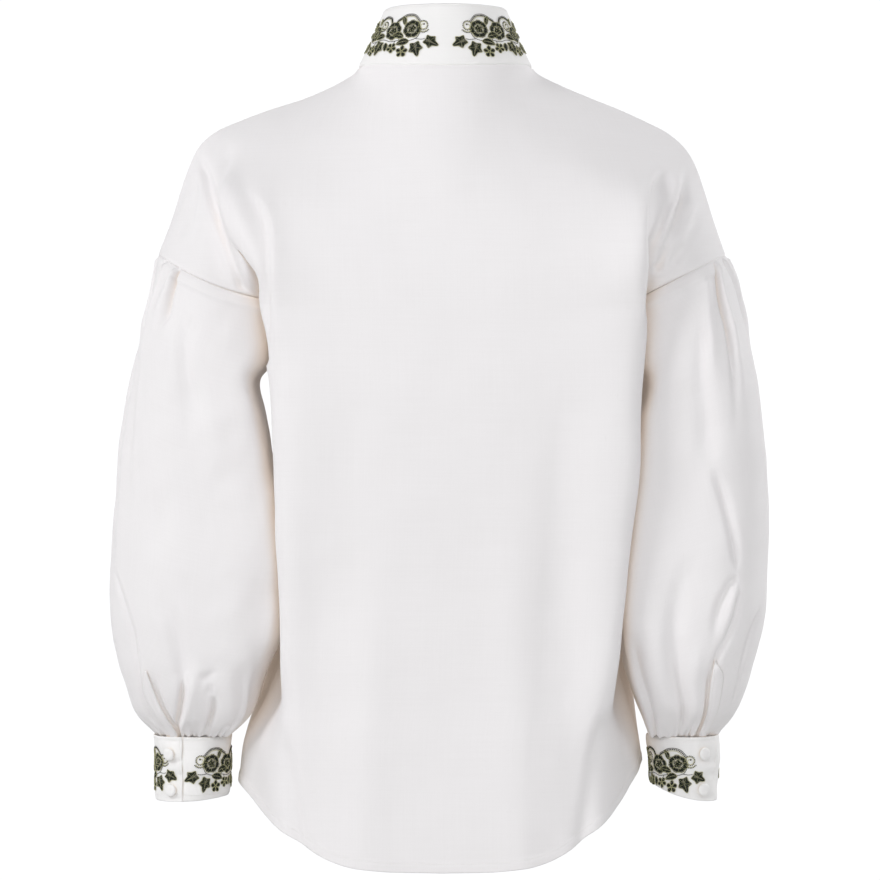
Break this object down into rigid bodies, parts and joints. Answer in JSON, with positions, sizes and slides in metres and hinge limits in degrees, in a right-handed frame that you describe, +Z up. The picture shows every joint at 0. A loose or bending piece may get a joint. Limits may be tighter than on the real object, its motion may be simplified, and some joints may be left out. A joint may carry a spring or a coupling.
{
  "type": "embroidered linen shirt",
  "caption": "Hollow linen shirt, filled out as worn: stand collar, full back, dropped full sleeves pleated in and gathered into cuffs, shirt-tail hem, sprays of embroidery on collar and cuffs.",
  "frame": {"origin": "middle of the neck opening, level with the collar seam at the back, where the wearer's neck and shoulders hold the shirt", "axes": "+Z up, +X towards the wearer's left, the front faces -Y and the back faces +Y"},
  "size_m": [0.5782, 0.2452, 0.746],
  "materials": {
    "linen": "matte plain-weave linen, off-white",
    "embroidered_linen": "off-white linen with dark green embroidery",
    "covered_button": "buttons covered in the shirt's linen"
  },
  "bodies": {
    "root": {"back": "linen", "front_left": "linen", "front_right": "linen", "front_placket": "linen", "collar": "embroidered_linen", "sleeve_left": "linen", "sleeve_right": "linen", "sleeve_placket_left": "linen", "sleeve_placket_right": "linen", "cuff_left": "embroidered_linen", "cuff_right": "embroidered_linen", "cuff_button_left_1": "covered_button", "cuff_button_left_2": "covered_button", "cuff_button_right_1": "covered_button", "cuff_button_right_2": "covered_button", "front_button_1": "covered_button", "front_button_2": "covered_button", "front_button_3": "covered_button", "front_button_4": "covered_button", "front_button_5": "covered_button", "front_button_6": "covered_button", "front_button_7": "covered_button", "collar_button_1": "covered_button", "collar_button_2": "covered_button"}
  },
  "joints": []
}
